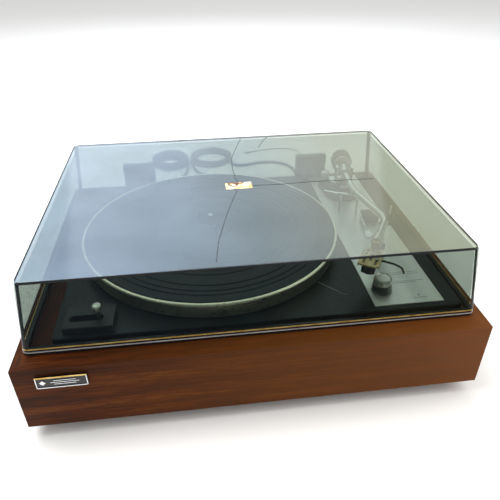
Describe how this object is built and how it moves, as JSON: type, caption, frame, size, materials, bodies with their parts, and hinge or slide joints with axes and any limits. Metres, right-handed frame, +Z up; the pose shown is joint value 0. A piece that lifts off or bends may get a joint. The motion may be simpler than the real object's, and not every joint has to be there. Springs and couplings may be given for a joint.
{
  "type": "turntable record player",
  "caption": "Belt-drive record player in a walnut plinth with a hinged smoked dust cover, S-shaped tonearm, ribbed platter mat and cue lever.",
  "frame": {"origin": "centre of the plinth, on the surface that the feet stand on", "axes": "+X to the right seen from the front, +Y towards the hinges, +Z up"},
  "size_m": [0.46, 0.719, 0.1688],
  "materials": {
    "walnut": "satin varnish",
    "softwood": "sawn",
    "hardboard": "smooth",
    "foot_rubber": "matte",
    "zinc_steel": "zinc plated",
    "badge_metal": "black with a bright border",
    "deck_paint": "satin blue-black",
    "satin_aluminium": "fine satin",
    "black_abs": "moulded",
    "black_steel": "satin black",
    "bright_aluminium": "turned",
    "white_nylon": "moulded",
    "phenolic": "moulded",
    "cast_aluminium": "turned rim",
    "mat_rubber": "ribbed",
    "polished_steel": "ground and polished",
    "brass_housing": "turned",
    "motor_steel": "plated can",
    "belt_rubber": "ground",
    "black_paint": "satin",
    "chrome_plate": "bright",
    "gold_aluminium": "pale gold anodised",
    "cartridge_abs": "blue-black",
    "stylus_abs": "dark",
    "weight_steel": "black with bright end",
    "smoked_acrylic": "polished smoked acrylic",
    "black_trim": "extruded",
    "black_pvc": "smooth jacket",
    "grey_pvc": "smooth jacket",
    "connector_mix": "moulded with plated contacts"
  },
  "bodies": {
    "plinth": {"plinth_front": "walnut", "plinth_rear": "walnut", "plinth_left": "walnut", "plinth_right": "walnut", "corner_blocks": "softwood", "bottom_board": "hardboard", "feet": "foot_rubber", "base_screws": "zinc_steel", "badge": "badge_metal", "deck_plate": "deck_paint", "deck_fasteners": "zinc_steel", "arm_plate": "satin_aluminium", "speed_block": "black_abs", "function_switch": "phenolic", "bearing_housing": "brass_housing", "thrust_ball": "polished_steel", "motor": "motor_steel", "motor_grommets": "foot_rubber", "drive_belt": "belt_rubber", "arm_base": "black_paint", "cue_housing": "black_abs", "arm_rest": "black_steel", "hinge_pins": "polished_steel", "hinge_bases": "zinc_steel", "hinge_screws": "zinc_steel", "lead_glands": "black_pvc", "mains_lead": "black_pvc", "mains_coil": "black_pvc", "mains_plug": "black_pvc", "signal_lead": "grey_pvc", "signal_coil": "grey_pvc", "lead_connectors": "connector_mix", "earth_wire": "black_pvc", "earth_coil": "black_pvc"},
    "cover": {"dust_cover": "smoked_acrylic", "cover_rim": "black_trim", "hinge_holders": "black_abs"},
    "platter": {"platter": "cast_aluminium", "platter_mat": "mat_rubber", "spindle": "polished_steel"},
    "pulley": {"motor_pulley": "brass_housing"},
    "speed_lever": {"speed_lever": "black_steel", "speed_cap": "bright_aluminium"},
    "fork": {"belt_fork": "white_nylon"},
    "knob": {"knob_skirt": "black_abs", "knob_cap": "bright_aluminium"},
    "arm_turret": {"arm_yoke": "chrome_plate"},
    "arm": {"arm_tube": "chrome_plate", "headshell": "gold_aluminium", "finger_lift": "black_steel", "cartridge": "cartridge_abs", "stylus": "stylus_abs", "cartridge_screws": "zinc_steel"},
    "collar": {"arm_collar": "bright_aluminium"},
    "counterweight": {"counterweight": "weight_steel"},
    "weight_dial": {"weight_dial": "bright_aluminium"},
    "antiskate": {"antiskate_knob": "bright_aluminium"},
    "cue_lever": {"cue_lever": "chrome_plate"},
    "lift_rail": {"lift_rail": "chrome_plate"},
    "rest_clip": {"rest_clip": "white_nylon"}
  },
  "joints": [
    {"name": "cover_hinge", "type": "hinge", "parent": "plinth", "child": "cover", "pos_m": [0, 0.1805, 0.096], "axis": [-1, 0, 0], "range_deg": [0, 68]},
    {"name": "platter_spin", "type": "hinge", "parent": "plinth", "child": "platter", "pos_m": [-0.0355, 0.0025, 0.11], "axis": [0, 0, 1], "continuous": true},
    {"name": "pulley_spin", "type": "hinge", "parent": "plinth", "child": "pulley", "pos_m": [-0.11808, -0.0873, 0.1], "axis": [0, 0, 1], "continuous": true},
    {"name": "speed_shift", "type": "slide", "parent": "plinth", "child": "speed_lever", "axis": [-1, 0, 0], "range_m": [0, 0.024]},
    {"name": "fork_rise", "type": "slide", "parent": "plinth", "child": "fork", "axis": [0, 0, 1], "range_m": [0, 0.0044]},
    {"name": "knob_turn", "type": "hinge", "parent": "plinth", "child": "knob", "pos_m": [0.136, -0.124, 0.105], "axis": [0, 0, -1], "range_deg": [0, 90]},
    {"name": "arm_swing", "type": "hinge", "parent": "plinth", "child": "arm_turret", "pos_m": [0.156, 0.098, 0.12], "axis": [0, 0, -1], "range_deg": [0, 40]},
    {"name": "arm_raise", "type": "hinge", "parent": "arm_turret", "child": "arm", "pos_m": [0.156, 0.098, 0.138], "axis": [-0.9875, 0.1577, 0], "range_deg": [0, 6.2]},
    {"name": "collar_turn", "type": "hinge", "parent": "arm", "child": "collar", "pos_m": [0.142, -0.0825, 0.138], "axis": [-0.5, -0.866, 0], "range_deg": [0, 30]},
    {"name": "counterweight_turn", "type": "hinge", "parent": "arm", "child": "counterweight", "pos_m": [0.16136, 0.13157, 0.138], "axis": [0.1577, 0.9875, 0], "range_deg": [-180, 180]},
    {"name": "dial_turn", "type": "hinge", "parent": "arm", "child": "weight_dial", "pos_m": [0.15915, 0.11775, 0.138], "axis": [0.1577, 0.9875, 0], "range_deg": [-180, 180]},
    {"name": "antiskate_turn", "type": "hinge", "parent": "plinth", "child": "antiskate", "pos_m": [0.138, 0.127, 0.118], "axis": [0, 0, 1], "range_deg": [0, 270]},
    {"name": "cue_turn", "type": "hinge", "parent": "plinth", "child": "cue_lever", "pos_m": [0.159, 0.022, 0.107], "axis": [-1, 0, 0], "range_deg": [0, 15]},
    {"name": "rail_drop", "type": "slide", "parent": "plinth", "child": "lift_rail", "axis": [0, 0, -1], "range_m": [0, 0.0064]},
    {"name": "clip_close", "type": "hinge", "parent": "plinth", "child": "rest_clip", "pos_m": [0.1694, -0.042, 0.1437], "axis": [0, -1, 0], "range_deg": [0, 90]}
  ],
  "couplings": [
    {"joint": "pulley_spin", "follows": "platter_spin", "ratio": 11.25},
    {"joint": "fork_rise", "follows": "speed_shift", "ratio": 0.18333},
    {"joint": "rail_drop", "follows": "cue_turn", "m_per_rad": 0.022918}
  ]
}
